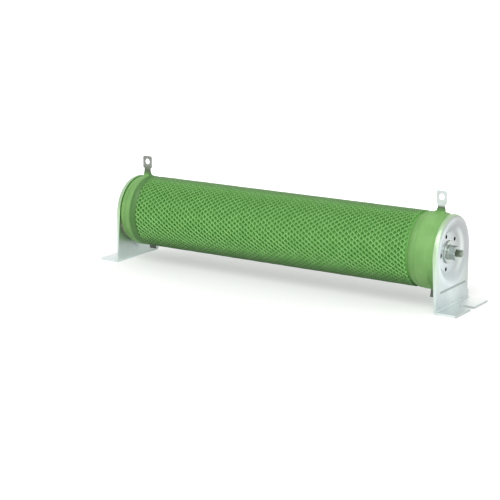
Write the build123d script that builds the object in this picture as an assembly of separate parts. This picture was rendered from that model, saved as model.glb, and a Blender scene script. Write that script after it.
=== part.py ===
from build123d import *
import math
import os

# Braking resistor: a hollow ceramic tube wound with corrugated resistance
# ribbon, coated in green cement and held between two sheet-steel end brackets
# by one threaded rod through its bore. Millimetres, +Z up, the tube along X.
# The origin is on the surface that the feet stand on, below the tube's middle.

# Ceramic tube
TUBE_LENGTH = 299.0
TUBE_OUTER_D = 53.0
TUBE_WALL = 5.0
AXIS_HEIGHT = 43.0

# End brackets, one pressed sheet each: plate, turned-in rim, dish and foot
SHEET = 2.0
RIM_FIT = 1.0
RIM_DEPTH = 4.2
RIM_OUTER_BEND = 2.4
RIM_BEND_FLATS = 2
RIM_BOTTOM_HEIGHT = 8.3
FOOT_DEPTH = 17.0
FOOT_INNER_BEND = 1.0
FOOT_CORNER_CUT = 1.0
SLOT_WIDTH = 7.0
SLOT_START = 6.3
DISH_DEPTH = 4.9
DISH_WALL_RUN = 3.0
DISH_FIT = 0.6
DISH_BEND = 0.8
DISH_FLANGE = 2.0
VENT_COUNT = 5
VENT_D = 3.2
VENT_INSET = 3.3
VENT_FIRST_ANGLE = 39.0
CREASE_HEIGHT = 15.8
CREASE_LENGTH = 45.0
CREASE_R = 0.9
CREASE_DEPTH = 0.5

# Threaded rod and what clamps it
ROD_D = 6.0
ROD_CLEARANCE = 0.3
ROD_PROUD = 7.0
NUT_FLATS = 10.0
NUT_THICKNESS = 5.0
NUT_CHAMFER = 0.5
THREAD_FIT = 0.05
WASHER_D = 18.0
WASHER_THICKNESS = 1.25
SPRING_WASHER_D = 11.8
SPRING_WASHER_THICKNESS = 1.3
SPRING_WASHER_GAP = 1.0
SPRING_WASHER_SLANT = 25.0

# Terminal bands round the tube, and the lugs welded on them
TERMINAL_INSET = 12.2
BAND_THICKNESS = 0.8
BAND_WIDTH = 6.0
EAR_HEIGHT = 9.8
EAR_ANGLE = -12.0
LUG_THICKNESS = 1.2
LUG_NECK_WIDTH = 6.0
LUG_HEAD_WIDTH = 8.6
LUG_HEAD_LENGTH = 10.4
LUG_HEIGHT = 20.5
LUG_HOLE_D = 5.0
LUG_HOLE_INSET = 4.7
LUG_CORNER_CUT = 0.9
LUG_FOOT_ANGLE = 22.0

# Corrugated ribbon, wound on edge
RIBBON_HEIGHT = 3.5
TURN_PITCH = 10.2
WAVES_PER_TURN = 8.5
WAVE_HEIGHT = 6.2
RIBBON_THICKNESS = 2.8
RIBBON_SEAT = 0.04
WINDING_GAP = 0.4

# Cement coating: a thin layer under the turns, thick collars over the bands
COAT_BASE = 0.7
COAT_END = 1.5
COAT_RIM_GAP = 0.6
COLLAR_HEIGHT = 3.7
COLLAR_START = 8.9
COLLAR_SHOULDER = 1.9
COLLAR_END = 24.2
COAT_ROOT = 0.5
COAT_ON_LUG = 0.4
COAT_LUG_TOP = 7.1
COAT_WEB_TOP = 6.1
COAT_WEB_LENGTH = 3.0
COAT_WEB_THICKNESS = 2.2

# Places that follow from the sizes above, seen along +X from the middle.
# Heights of what lies on the tube are counted from the tube's surface.
TUBE_END = TUBE_LENGTH / 2
TUBE_R = TUBE_OUTER_D / 2
BORE_R = TUBE_R - TUBE_WALL
PLATE_WIDTH = TUBE_OUTER_D + 2 * (RIM_FIT + SHEET)
PLATE_INNER = TUBE_END
PLATE_OUTER = PLATE_INNER + SHEET
RIM_BACK = PLATE_OUTER - RIM_DEPTH
FOOT_EDGE = PLATE_OUTER + FOOT_DEPTH
TERMINAL_X = PLATE_OUTER - TERMINAL_INSET
BAND_OUTER_R = TUBE_R + BAND_THICKNESS
EAR_TIP_R = TUBE_R + EAR_HEIGHT
LUG_TOP_R = TUBE_R + LUG_HEIGHT
COAT_BASE_R = TUBE_R + COAT_BASE
COAT_END_R = TUBE_R + COAT_END
COLLAR_R = TUBE_R + COLLAR_HEIGHT
COLLAR_INNER = PLATE_OUTER - COLLAR_END
WINDING_R = TUBE_R + RIBBON_HEIGHT
WINDING_END = COLLAR_INNER - WINDING_GAP
DISH_WALL = math.hypot(DISH_DEPTH, DISH_WALL_RUN)
DISH_GROWTH = SHEET * (DISH_WALL - DISH_WALL_RUN) / DISH_DEPTH
DISH_EDGE_R = BORE_R - DISH_FIT - DISH_GROWTH
DISH_FLOOR_R = DISH_EDGE_R - DISH_WALL_RUN
FLANGE_R = DISH_EDGE_R + DISH_GROWTH + DISH_FLANGE
VENT_PITCH_R = DISH_FLOOR_R - VENT_INSET
DISH_FLOOR = PLATE_OUTER - DISH_DEPTH
WASHER_FACE = DISH_FLOOR + WASHER_THICKNESS
NUT_SEAT = WASHER_FACE + SPRING_WASHER_THICKNESS
ROD_HOLE_R = ROD_D / 2 + ROD_CLEARANCE


def section_at(x, sketch):
    """A sketch of Y and Z put in the plane across the tube at x."""
    return Plane.YZ.offset(x) * sketch


def slab(sketch, x_from, x_to):
    """A sketch of Y and Z, extruded along X between two places."""
    return extrude(section_at(x_from, sketch), amount=x_to - x_from)


def ring(outer_r, inner_r, x_from, x_to):
    return slab(Circle(outer_r) - Circle(inner_r), x_from, x_to)


def turned(points):
    """A solid of revolution about X from (x, radius) corners."""
    return revolve(make_face(Polyline(*points, close=True)), Axis.X)


def both_ends(right):
    """A piece of the +X end, and the same piece turned round for the -X end."""
    return right, Rot(0, 0, 180) * right


def ceramic_tube():
    return ring(TUBE_R, BORE_R, -TUBE_END, TUBE_END)


def arch(inset, bottom):
    """The plate's outline: an arch about the tube's axis on straight sides."""
    half_width = PLATE_WIDTH / 2 - inset
    sides = Pos(0, bottom / 2) * Rectangle(2 * half_width, -bottom)
    return Circle(half_width) + sides


def rim_section():
    """Section of the rim that is turned in from the plate's edge."""
    edge = PLATE_WIDTH / 2
    join = edge - RIM_OUTER_BEND
    bend = []
    for flat in range(RIM_BEND_FLATS + 1):
        angle = math.pi / 2 * flat / RIM_BEND_FLATS
        x = PLATE_OUTER - RIM_OUTER_BEND * (1 - math.sin(angle))
        bend.append((x, join + RIM_OUTER_BEND * math.cos(angle)))
    inside = [(PLATE_INNER, join), (PLATE_INNER, edge - SHEET), (RIM_BACK, edge - SHEET)]
    return make_face(Polyline((RIM_BACK, edge), *bend, *inside, close=True))


def bracket_pan():
    """The upper plate with its rim, which runs over the top and narrows down the sides."""
    bottom = RIM_BOTTOM_HEIGHT - AXIS_HEIGHT
    section = Plane.XY * rim_section()
    pan = slab(arch(RIM_OUTER_BEND, bottom), PLATE_INNER, PLATE_OUTER)
    pan += revolve(section, Axis.X, 180)
    pan += extrude(section, amount=bottom)
    pan += mirror(extrude(section, amount=bottom), Plane.XZ)
    taper = make_face(Polyline((RIM_BACK, 0), (PLATE_INNER, bottom), (RIM_BACK, bottom), close=True))
    return pan - extrude(Plane.XZ * taper, amount=PLATE_WIDTH, both=True)


def bracket_foot():
    """The lower plate, the bend and the foot, which is turned outwards."""
    profile = Polyline(
        (PLATE_INNER, RIM_BOTTOM_HEIGHT), (PLATE_OUTER, RIM_BOTTOM_HEIGHT),
        (PLATE_OUTER, SHEET), (FOOT_EDGE, SHEET), (FOOT_EDGE, 0), (PLATE_INNER, 0),
        close=True,
    )
    side = make_face(profile)
    inner = [v for v in side.vertices() if v.X == PLATE_OUTER and v.Y == SHEET]
    side = fillet(inner, FOOT_INNER_BEND)
    outer = side.vertices().sort_by(Axis.X)[:2].sort_by(Axis.Y)[0]
    side = fillet(outer, FOOT_INNER_BEND + SHEET)
    across = Plane.XZ.offset(-PLATE_WIDTH / 2) * side
    foot = extrude(across, amount=PLATE_WIDTH)
    corners = foot.edges().filter_by(Axis.Z).group_by(Axis.X)[-1]
    foot = chamfer(corners, FOOT_CORNER_CUT)
    slot_end = PLATE_OUTER + SLOT_START + SLOT_WIDTH / 2
    run = FOOT_EDGE - slot_end + SLOT_WIDTH
    slot = Pos(slot_end, 0) * Circle(SLOT_WIDTH / 2)
    slot += Pos(slot_end + run / 2, 0) * Rectangle(run, SLOT_WIDTH)
    return Pos(0, 0, -AXIS_HEIGHT) * (foot - extrude(slot, amount=2 * SHEET, both=True))


def bracket_dish():
    """The round dish pressed inwards, which centres the tube on the plate."""
    outline = Polyline(
        (PLATE_OUTER, FLANGE_R), (PLATE_OUTER, DISH_EDGE_R), (DISH_FLOOR, DISH_FLOOR_R),
        (DISH_FLOOR, ROD_HOLE_R), (DISH_FLOOR - SHEET, ROD_HOLE_R),
        (DISH_FLOOR - SHEET, DISH_FLOOR_R + DISH_GROWTH),
        (PLATE_INNER, DISH_EDGE_R + DISH_GROWTH), (PLATE_INNER, FLANGE_R), close=True,
    )
    side = make_face(outline)
    bend = side.vertices().sort_by_distance((PLATE_OUTER, DISH_EDGE_R))[0]
    return revolve(chamfer(bend, DISH_BEND), Axis.X)


def end_bracket():
    plate = bracket_pan() - slab(Circle(FLANGE_R), PLATE_INNER - SHEET, PLATE_OUTER + SHEET)
    bracket = plate + bracket_dish() + bracket_foot()
    places = PolarLocations(VENT_PITCH_R, VENT_COUNT, start_angle=VENT_FIRST_ANGLE)
    vents = Sketch() + [place * Circle(VENT_D / 2) for place in places]
    bracket -= slab(vents, DISH_FLOOR - 2 * SHEET, PLATE_OUTER)
    crease = Cylinder(CREASE_R, CREASE_LENGTH, rotation=(90, 0, 0))
    crease_x = PLATE_OUTER + CREASE_R - CREASE_DEPTH
    return bracket - Pos(crease_x, 0, CREASE_HEIGHT - AXIS_HEIGHT) * crease


def tie_rod():
    return slab(Circle(ROD_D / 2), -PLATE_OUTER - ROD_PROUD, PLATE_OUTER + ROD_PROUD)


def plain_washer():
    return ring(WASHER_D / 2, ROD_HOLE_R, DISH_FLOOR, WASHER_FACE)


def spring_washer():
    washer = ring(SPRING_WASHER_D / 2, ROD_HOLE_R, WASHER_FACE, NUT_SEAT)
    cut = Box(4 * SPRING_WASHER_THICKNESS, SPRING_WASHER_GAP, SPRING_WASHER_D)
    cut = Rot(0, 0, SPRING_WASHER_SLANT) * Pos(0, 0, SPRING_WASHER_D / 2) * cut
    return washer - Pos((WASHER_FACE + NUT_SEAT) / 2, 0, 0) * cut


def tie_nut():
    corner_r = NUT_FLATS / math.sqrt(3)
    blank = slab(RegularPolygon(corner_r, 6), NUT_SEAT, NUT_SEAT + NUT_THICKNESS)
    barrel = slab(Circle(corner_r), NUT_SEAT, NUT_SEAT + NUT_THICKNESS)
    barrel = chamfer(barrel.edges().sort_by(Axis.X)[-1], NUT_CHAMFER)
    hole = slab(Circle(ROD_D / 2 + THREAD_FIT), NUT_SEAT, NUT_SEAT + NUT_THICKNESS)
    return (blank & barrel) - hole


def terminal_band():
    """A strip hoop whose two ends are pinched together below the tube."""
    root_r = TUBE_R + BAND_THICKNESS / 2
    ears = Rot(0, 0, EAR_ANGLE) * Pos(0, -(root_r + EAR_TIP_R) / 2)
    ears *= Rectangle(2 * BAND_THICKNESS, EAR_TIP_R - root_r)
    hoop = Circle(BAND_OUTER_R) + ears - Circle(TUBE_R)
    return slab(hoop, TERMINAL_X - BAND_WIDTH / 2, TERMINAL_X + BAND_WIDTH / 2)


def terminal_lug():
    """A stamped lug: eye, neck and a curved foot that lies on the band."""
    foot = Circle(BAND_OUTER_R + LUG_THICKNESS) - Circle(BAND_OUTER_R)
    reach = 2 * BAND_OUTER_R
    far = reach * math.sin(math.radians(LUG_FOOT_ANGLE))
    up = reach * math.cos(math.radians(LUG_FOOT_ANGLE))
    wedge = make_face(Polyline((0, 0), (0, reach), (far, up), close=True))
    foot = slab(foot & wedge, TERMINAL_X - BAND_WIDTH / 2, TERMINAL_X + BAND_WIDTH / 2)
    neck_from = BAND_OUTER_R + LUG_THICKNESS / 2
    face = Pos(TERMINAL_X, (neck_from + LUG_TOP_R) / 2)
    face *= Rectangle(LUG_NECK_WIDTH, LUG_TOP_R - neck_from)
    head = Rectangle(LUG_HEAD_WIDTH, LUG_HEAD_LENGTH)
    head = chamfer(head.vertices(), LUG_CORNER_CUT)
    face += Pos(TERMINAL_X, LUG_TOP_R - LUG_HEAD_LENGTH / 2) * head
    face -= Pos(TERMINAL_X, LUG_TOP_R - LUG_HOLE_INSET) * Circle(LUG_HOLE_D / 2)
    stem = extrude(Plane.XZ * face, amount=LUG_THICKNESS / 2, both=True)
    return stem + foot


def ribbon_section(turn_angle, x, swing):
    """The ribbon's cross-section, standing on edge in a plane through the axis.

    The swing to the side grows with the radius, so that the sides stay flat.
    """
    half_step = math.pi / (2 * WAVES_PER_TURN)
    inner_r = (COAT_BASE_R + RIBBON_SEAT) / math.cos(half_step)
    half = RIBBON_THICKNESS / 2
    inner_x = x + swing * inner_r / WINDING_R
    outer_x = x + swing
    corners = [
        (inner_x - half, inner_r), (inner_x + half, inner_r),
        (outer_x + half, WINDING_R), (outer_x - half, WINDING_R),
    ]
    placed = [(cx, r * math.cos(turn_angle), r * math.sin(turn_angle)) for cx, r in corners]
    return Wire.make_polygon(placed, close=True)


def ribbon_winding():
    """One ribbon in a helix, bent to and fro so that each turn is a zigzag."""
    swing = WAVE_HEIGHT / 2
    first = -WINDING_END + swing + RIBBON_THICKNESS / 2
    travel = -2 * first
    half_waves = round(travel / TURN_PITCH * 2 * WAVES_PER_TURN)
    sections = []
    for step in range(half_waves + 1):
        side = swing if step % 2 else -swing
        x = first + travel * step / half_waves
        sections.append(ribbon_section(math.pi * step / WAVES_PER_TURN, x, side))
    return Solid.make_loft(sections, ruled=True)


def coating_end_profile(mirror_x):
    """Corners of the coating's outline at one end, from the rim inwards."""
    rim_edge = RIM_BACK - COAT_RIM_GAP
    shoulder = PLATE_OUTER - COLLAR_START
    collar = shoulder - COLLAR_SHOULDER
    corners = [
        (rim_edge, TUBE_R), (rim_edge, COAT_END_R), (shoulder, COAT_END_R),
        (collar, COLLAR_R), (COLLAR_INNER, COLLAR_R), (COLLAR_INNER, COAT_BASE_R),
    ]
    return [(mirror_x * x, r) for x, r in corners]


def coat_on_terminal():
    """Coating that climbs the lug, and the web on the winding's side of it."""
    collar_inside = COLLAR_R - COAT_ROOT
    lug_top = TUBE_R + COAT_LUG_TOP
    wrap = 2 * COAT_ON_LUG
    lug_coat = Box(LUG_NECK_WIDTH + wrap, LUG_THICKNESS + wrap, lug_top - collar_inside)
    lug_coat = Pos(TERMINAL_X, 0, (collar_inside + lug_top) / 2) * lug_coat
    web_x = TERMINAL_X - LUG_NECK_WIDTH / 2
    web = make_face(Polyline(
        (web_x, collar_inside), (web_x, TUBE_R + COAT_WEB_TOP),
        (web_x - COAT_WEB_LENGTH, collar_inside), close=True))
    web = extrude(Plane.XZ * web, amount=COAT_WEB_THICKNESS / 2, both=True)
    return lug_coat + web


def cement_coating(terminals):
    """The green coat, moulded round the bands and lugs that lie under it."""
    outline = coating_end_profile(1) + coating_end_profile(-1)[::-1]
    coat = turned(outline)
    right, left = both_ends(coat_on_terminal())
    coat = coat + right + left
    for terminal in terminals:
        coat -= terminal
    return coat


def raised(shape):
    return Pos(0, 0, AXIS_HEIGHT) * shape


def all_parts():
    parts = {
        "ceramic_tube": ceramic_tube(),
        "ribbon_winding": ribbon_winding(),
        "tie_rod": tie_rod(),
    }
    parts["terminal_lug_right"], parts["terminal_lug_left"] = both_ends(terminal_lug())
    pairs = {
        "end_brackets": end_bracket(),
        "terminal_bands": terminal_band(),
        "plain_washers": plain_washer(),
        "spring_washers": spring_washer(),
        "tie_nuts": tie_nut(),
    }
    for name, right in pairs.items():
        parts[name] = Compound(both_ends(right))
    lugs = [parts["terminal_lug_right"], parts["terminal_lug_left"]]
    terminals = parts["terminal_bands"].solids() + lugs
    parts["cement_coating"] = cement_coating(terminals)
    return {name: raised(shape) for name, shape in parts.items()}


os.makedirs("parts", exist_ok=True)
for node, solid in all_parts().items():
    export_step(solid, f"parts/{node}.step")
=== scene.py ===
import math

import bmesh
import bpy
from mathutils import Matrix, Vector, noise


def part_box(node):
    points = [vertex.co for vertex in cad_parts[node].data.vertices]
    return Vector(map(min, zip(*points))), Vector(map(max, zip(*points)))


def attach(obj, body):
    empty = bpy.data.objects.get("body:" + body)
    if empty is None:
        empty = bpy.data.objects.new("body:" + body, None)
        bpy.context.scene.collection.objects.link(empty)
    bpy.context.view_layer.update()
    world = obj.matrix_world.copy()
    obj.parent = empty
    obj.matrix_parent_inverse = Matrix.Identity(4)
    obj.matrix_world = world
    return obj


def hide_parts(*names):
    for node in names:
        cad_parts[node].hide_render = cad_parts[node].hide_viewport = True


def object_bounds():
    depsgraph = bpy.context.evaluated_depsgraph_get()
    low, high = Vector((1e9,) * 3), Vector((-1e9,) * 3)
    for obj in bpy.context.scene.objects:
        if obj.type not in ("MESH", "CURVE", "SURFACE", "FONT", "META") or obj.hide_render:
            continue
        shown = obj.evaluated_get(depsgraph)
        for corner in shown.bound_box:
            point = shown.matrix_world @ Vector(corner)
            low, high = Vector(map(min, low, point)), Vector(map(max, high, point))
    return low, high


bl_info = {
    "name": "Braking Resistor",
    "version": (1, 0, 0),
    "blender": (4, 5, 0),
    "location": "3D View > Sidebar > Resistor",
    "description": "Dresses a braking resistor: winding, cement, brackets, terminals and fasteners",
    "category": "Object",
}

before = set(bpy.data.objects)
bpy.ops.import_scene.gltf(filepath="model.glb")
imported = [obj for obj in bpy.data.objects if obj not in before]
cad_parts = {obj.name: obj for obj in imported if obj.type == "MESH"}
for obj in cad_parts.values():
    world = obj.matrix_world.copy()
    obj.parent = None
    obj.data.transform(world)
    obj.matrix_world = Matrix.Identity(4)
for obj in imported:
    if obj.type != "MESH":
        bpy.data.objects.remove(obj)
CAD_LOW, CAD_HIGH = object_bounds()
MM = 0.001
BODY = "root"
X, Y, Z = range(3)


def span(node, axis):
    """Where a CAD node begins and ends along one axis."""
    low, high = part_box(node)
    return low[axis], high[axis]


# Places that follow from the frame
TUBE_LOW, TUBE_HIGH = span("ceramic_tube", Z)
AXIS_Z = (TUBE_LOW + TUBE_HIGH) / 2
AXIS = Vector((0, 0, AXIS_Z))
TUBE_R = (TUBE_HIGH - TUBE_LOW) / 2
SHEET = 2 * MM
PLATE_INNER = span("ceramic_tube", X)[1]
PLATE_OUTER = PLATE_INNER + SHEET
ROD_TIP = span("tie_rod", X)[1]
ROD_R = span("tie_rod", Y)[1]
WINDING_END = span("ribbon_winding", X)[1]
LUG_X = sum(span("terminal_lug_right", X)) / 2
WASHER = 1.25 * MM
DISH_FLOOR = span("plain_washers", X)[1] - WASHER
# The pressed crease, above the surface that the feet stand on
CREASE_Z = CAD_LOW[Z] + 15.8 * MM
# The coat's end is brushed on this much nearer to the bracket than in the solids
BRUSHED_OUT = 0.45 * MM
COAT_END = span("cement_coating", X)[1] + BRUSHED_OUT
# The ring's painted shade begins this far from the coat's end
RING_FROM_END = 15.65 * MM
RING_START = COAT_END - RING_FROM_END
LEFT_SHORTER = 5.5 * MM
LEFT_RING_START = -RING_START - LEFT_SHORTER


# Mesh helpers

MERGE_CAD = 0.001 * MM
MERGE_SPUN = 0.002 * MM
FLAT_ANGLE = math.radians(0.6)


def in_scene(name, data):
    """A new object in the scene that holds the data."""
    holder = bpy.data.objects.new(name, data)
    bpy.context.scene.collection.objects.link(holder)
    return holder


def as_mesh(bm, name):
    """Ends a bmesh as a mesh, just as it is."""
    mesh = bpy.data.meshes.new(name)
    bm.to_mesh(mesh)
    bm.free()
    return mesh


def plain_mesh(bm, name):
    """Ends a bmesh as a working mesh, with its faces outwards."""
    bmesh.ops.recalc_face_normals(bm, faces=bm.faces)
    return as_mesh(bm, name)


def make_piece(name, bm, finishes, node, sharp_angle=40):
    """Ends a bmesh as a piece that rides on the part and stands for a CAD node.

    It is smooth, with creases where faces meet at more than the angle, in degrees.
    """
    mesh = plain_mesh(bm, name)
    mesh.shade_smooth()
    mesh.set_sharp_from_angle(angle=math.radians(sharp_angle))
    for finish in finishes:
        mesh.materials.append(material_of(finish))
    piece = in_scene(name, mesh)
    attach(piece, BODY)
    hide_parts(node)
    return piece


def take_in(bm, mesh):
    """Adds a working mesh to a bmesh and deletes it."""
    bm.from_mesh(mesh)
    bpy.data.meshes.remove(mesh)
    return bm


def after_modifiers(carrier, *tools):
    """The mesh that the carrier's modifiers make; the working objects are deleted."""
    depsgraph = bpy.context.evaluated_depsgraph_get()
    made = bpy.data.meshes.new_from_object(carrier.evaluated_get(depsgraph))
    for used in (carrier, *tools):
        mesh = used.data
        bpy.data.objects.remove(used)
        bpy.data.meshes.remove(mesh)
    return made


def cad_copy(node):
    """A CAD node's surface with its loose triangles joined into whole faces."""
    bm = bmesh.new()
    bm.from_mesh(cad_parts[node].data)
    bmesh.ops.remove_doubles(bm, verts=bm.verts, dist=MERGE_CAD)
    bmesh.ops.dissolve_limit(bm, angle_limit=FLAT_ANGLE, verts=bm.verts, edges=bm.edges)
    return bm


def soften(piece, width, angle=35):
    """Small rounded edges, with shading that stays flat on the flat faces."""
    bevel = piece.modifiers.new("edges", "BEVEL")
    bevel.width = width
    bevel.segments = 2
    bevel.limit_method = "ANGLE"
    bevel.angle_limit = math.radians(angle)
    bevel.harden_normals = False
    piece.modifiers.new("normals", "WEIGHTED_NORMAL").keep_sharp = True


def turn_half(bm):
    """Turns a right-hand piece half round the vertical axis, to the other end."""
    half_turn = Matrix.Rotation(math.pi, 3, "Z")
    bmesh.ops.rotate(bm, cent=(0, 0, 0), matrix=half_turn, verts=bm.verts)
    return bm


def at_axis(points):
    """(x, radius) corners as vertices above the tube's axis."""
    return [Vector((x, 0, AXIS_Z + r)) for x, r in points]


def chain(bm, places, closed=False):
    """Vertices at the places, with edges from each to the next."""
    verts = [bm.verts.new(p) for p in places]
    pairs = list(zip(verts, verts[1:]))
    if closed:
        pairs.append((verts[-1], verts[0]))
    return verts, [bm.edges.new(pair) for pair in pairs]


def spun(corners, steps, closed=True):
    """A bmesh with a section of (x, radius) corners turned full round the tube's axis."""
    bm = bmesh.new()
    verts, edges = chain(bm, at_axis(corners), closed)
    bmesh.ops.spin(
        bm, geom=verts + edges, cent=AXIS, axis=(1, 0, 0), angle=math.tau,
        steps=steps, use_merge=True)
    bmesh.ops.remove_doubles(bm, verts=bm.verts, dist=MERGE_SPUN)
    return bm


def close_ends(bm):
    """Fills every open rim."""
    bmesh.ops.holes_fill(bm, edges=[e for e in bm.edges if e.is_boundary])
    return bm


# Shader node groups and materials

CLOUD_SPREAD = (0.35, 0.65)
CLOUD_DETAIL = 5
GRAIN_DETAIL = 3
GRAIN_HEIGHT = 0.35
CEMENT_ROUGH = (0.42, 0.58)
# The grain of the sheet is drawn out along its height
DRAWN_GRAIN = (900, 900, 60)

# Fades of the finishes and of the painted shade, light, highlight and reflection: from one place to
# another, and the strength of the tint at each
# Painted shade on the low rings beside the collars, over the strip's last and first turns
RIGHT_RING_SHADE = (RING_START - 0.5 * MM, RING_START + 0.3 * MM, 0.4, 0)
LEFT_RING_SHADE = (LEFT_RING_START - 0.7 * MM, LEFT_RING_START + 0.3 * MM, 0, 0.95)
LEFT_HALF = (-MM, MM, 1, 0)
LUG_CLIMB = (AXIS_Z + 30.4 * MM, AXIS_Z + 32.4 * MM, 0, 0.85)
# Painted shade deep between the turns, towards the strip's root
STRIP_ROOT_SHADE = (TUBE_R + 1.2 * MM, TUBE_R + 3.1 * MM, 0, 1)
# Painted shade over the upper half of the winding
STRIP_UPPER_SHADE = (AXIS_Z + 4 * MM, AXIS_Z + 26 * MM, 0, 0.55)
# Painted shade along the top of the winding
STRIP_TOP_SHADE = (AXIS_Z + 28.4 * MM, AXIS_Z + 29.7 * MM, 0, 0.6)
# Painted shade along the bottom of the winding
STRIP_BELOW_SHADE = (AXIS_Z - 28.4 * MM, AXIS_Z - 16 * MM, 0.9, 0)
# Painted shade: greyer plating towards the top and the back, along this slant
SLANT = (0, 0.6, 0.4)
GREY_SLANT_SHADE = (SLANT[Z] * AXIS_Z - 14 * MM, SLANT[Z] * AXIS_Z + 12 * MM, 0, 1)
# Painted highlight on the wall at the back of the dish
WALL_RISE = (17 * MM, 19 * MM, 0, 1)
WALL_FALL = (20 * MM, 21.6 * MM, 1, 0)
WALL_BACK = (6 * MM, 14 * MM, 0, 0.85)
CREASE_SHADE = (0.5 * MM, 1.3 * MM, 0.8, 0)
CREASE_ENDS = (21 * MM, 23.5 * MM, 1, 0)
CREASE_FACE = (PLATE_INNER + MM, PLATE_INNER + 1.2 * MM, 0, 1)
# Painted light on the foot, brighter towards the back
FOOT_OUT = (PLATE_OUTER, PLATE_OUTER + 3 * MM, 0, 1)
FOOT_BACK = (-25 * MM, 20 * MM, 0.3, 1)
# Painted reflection of the coat's green on the rim
RIM_WIDTH = (PLATE_INNER, PLATE_OUTER, 1, 0.35)
RIM_ARCH = (0.3 * AXIS_Z, AXIS_Z, 0.15, 1)
RIM_EDGE = (27.2 * MM, 28.8 * MM, 0, 1)

# How far from the axis a lug's dark stain begins and ends
STAIN_FOOT = 34 * MM
STAIN_TOP = 36 * MM
STAIN_TOP_LEFT = 40.5 * MM


def srgb(red, green, blue):
    """A colour written as it looks on screen, in the linear values that a shader takes."""
    linear = [((c + 0.055) / 1.055) ** 2.4 if c > 0.04045 else c / 12.92
              for c in (red, green, blue)]
    return (*linear, 1.0)


def feed(tree, socket, value):
    """Links another node's socket to an input, or sets a plain value there."""
    if isinstance(value, bpy.types.NodeSocket):
        tree.links.new(value, socket)
    else:
        socket.default_value = value


def add_node(tree, kind, inputs=None, **settings):
    """A new node with its settings, and with a socket or a plain value at each input."""
    node = tree.nodes.new(kind)
    for name, value in settings.items():
        setattr(node, name, value)
    for key, value in (inputs or {}).items():
        feed(tree, node.inputs[key], value)
    return node


def maths(tree, operation, *values):
    """The result of a Math node on sockets or plain values."""
    node = add_node(tree, "ShaderNodeMath", dict(enumerate(values)), operation=operation)
    return node.outputs[0]


def fade(tree, value, low, high, at_low, at_high):
    """Runs from one number to another between two places, and stays level beyond them."""
    node = add_node(tree, "ShaderNodeMapRange", {
        "Value": value, "From Min": low, "From Max": high, "To Min": at_low, "To Max": at_high})
    return node.outputs["Result"]


def colour_mix(tree, share, low, high):
    """A mix of two colours, each a socket or a colour as it looks on screen."""
    mix = add_node(tree, "ShaderNodeMix", data_type="RGBA")
    sockets = [socket for socket in mix.inputs if socket.enabled]
    for socket, value in zip(sockets, (share, low, high)):
        is_socket = isinstance(value, bpy.types.NodeSocket)
        feed(tree, socket, value if is_socket else srgb(*value))
    return next(socket for socket in mix.outputs if socket.enabled)


def object_place(tree):
    """A point's place on the part, in metres."""
    return add_node(tree, "ShaderNodeTexCoord").outputs["Object"]


def axis_socket(tree, axis):
    """A point's place along one axis of the part."""
    return add_node(tree, "ShaderNodeSeparateXYZ", {0: object_place(tree)}).outputs[axis]


def radius_socket(tree):
    """How far a point is from the tube's axis."""
    shift = add_node(tree, "ShaderNodeMapping", {
        "Vector": object_place(tree), "Location": (0, 0, -AXIS_Z), "Scale": (0, 1, 1)})
    length = add_node(
        tree, "ShaderNodeVectorMath", {0: shift.outputs["Vector"]}, operation="LENGTH")
    return length.outputs["Value"]


def mottle_group():
    """Two colours mixed in soft clouds with fine grain, and a height for bump."""
    name = "Mottle"
    if name in bpy.data.node_groups:
        return bpy.data.node_groups[name]
    tree = bpy.data.node_groups.new(name, "ShaderNodeTree")
    sides = {
        "INPUT": {"Light": "Color", "Dark": "Color", "Cloud Scale": "Float",
                  "Grain Scale": "Float", "Contrast": "Float"},
        "OUTPUT": {"Color": "Color", "Height": "Float", "Clouds": "Float"},
    }
    for side, sockets in sides.items():
        for socket, kind in sockets.items():
            tree.interface.new_socket(socket, in_out=side, socket_type="NodeSocket" + kind)
    source = tree.nodes.new("NodeGroupInput").outputs
    sink = tree.nodes.new("NodeGroupOutput").inputs
    place = object_place(tree)
    clouds, grain = [
        add_node(tree, "ShaderNodeTexNoise", {
            "Vector": place, "Scale": source[scale], "Detail": detail}).outputs["Fac"]
        for scale, detail in (("Cloud Scale", CLOUD_DETAIL), ("Grain Scale", GRAIN_DETAIL))]
    spread = fade(tree, clouds, *CLOUD_SPREAD, 0, 1)
    share = maths(tree, "MULTIPLY", spread, source["Contrast"])
    feed(tree, sink["Color"], colour_mix(tree, share, source["Light"], source["Dark"]))
    feed(tree, sink["Height"], maths(tree, "MULTIPLY_ADD", grain, GRAIN_HEIGHT, clouds))
    feed(tree, sink["Clouds"], spread)
    return tree


def add_mottle(tree, light, dark, clouds, grain, contrast):
    """The outputs of a mottle of two colours, with the scales of its clouds and its grain."""
    return add_node(tree, "ShaderNodeGroup", {
        "Light": srgb(*light), "Dark": srgb(*dark), "Cloud Scale": clouds,
        "Grain Scale": grain, "Contrast": contrast}, node_tree=mottle_group()).outputs


def blank_material(name):
    """A new material with its node tree and its shader."""
    material = bpy.data.materials.new(name)
    material.use_nodes = True
    tree = material.node_tree
    return material, tree, tree.nodes["Principled BSDF"]


def finish(tree, shader, colour, rough, height, bump, strength):
    """Sets a shader's colour, its roughness, and a bump of a height in metres."""
    feed(tree, shader.inputs["Base Color"], colour)
    feed(tree, shader.inputs["Roughness"], rough)
    node = add_node(
        tree, "ShaderNodeBump", {"Height": height, "Distance": bump, "Strength": strength})
    feed(tree, shader.inputs["Normal"], node.outputs["Normal"])


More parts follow.
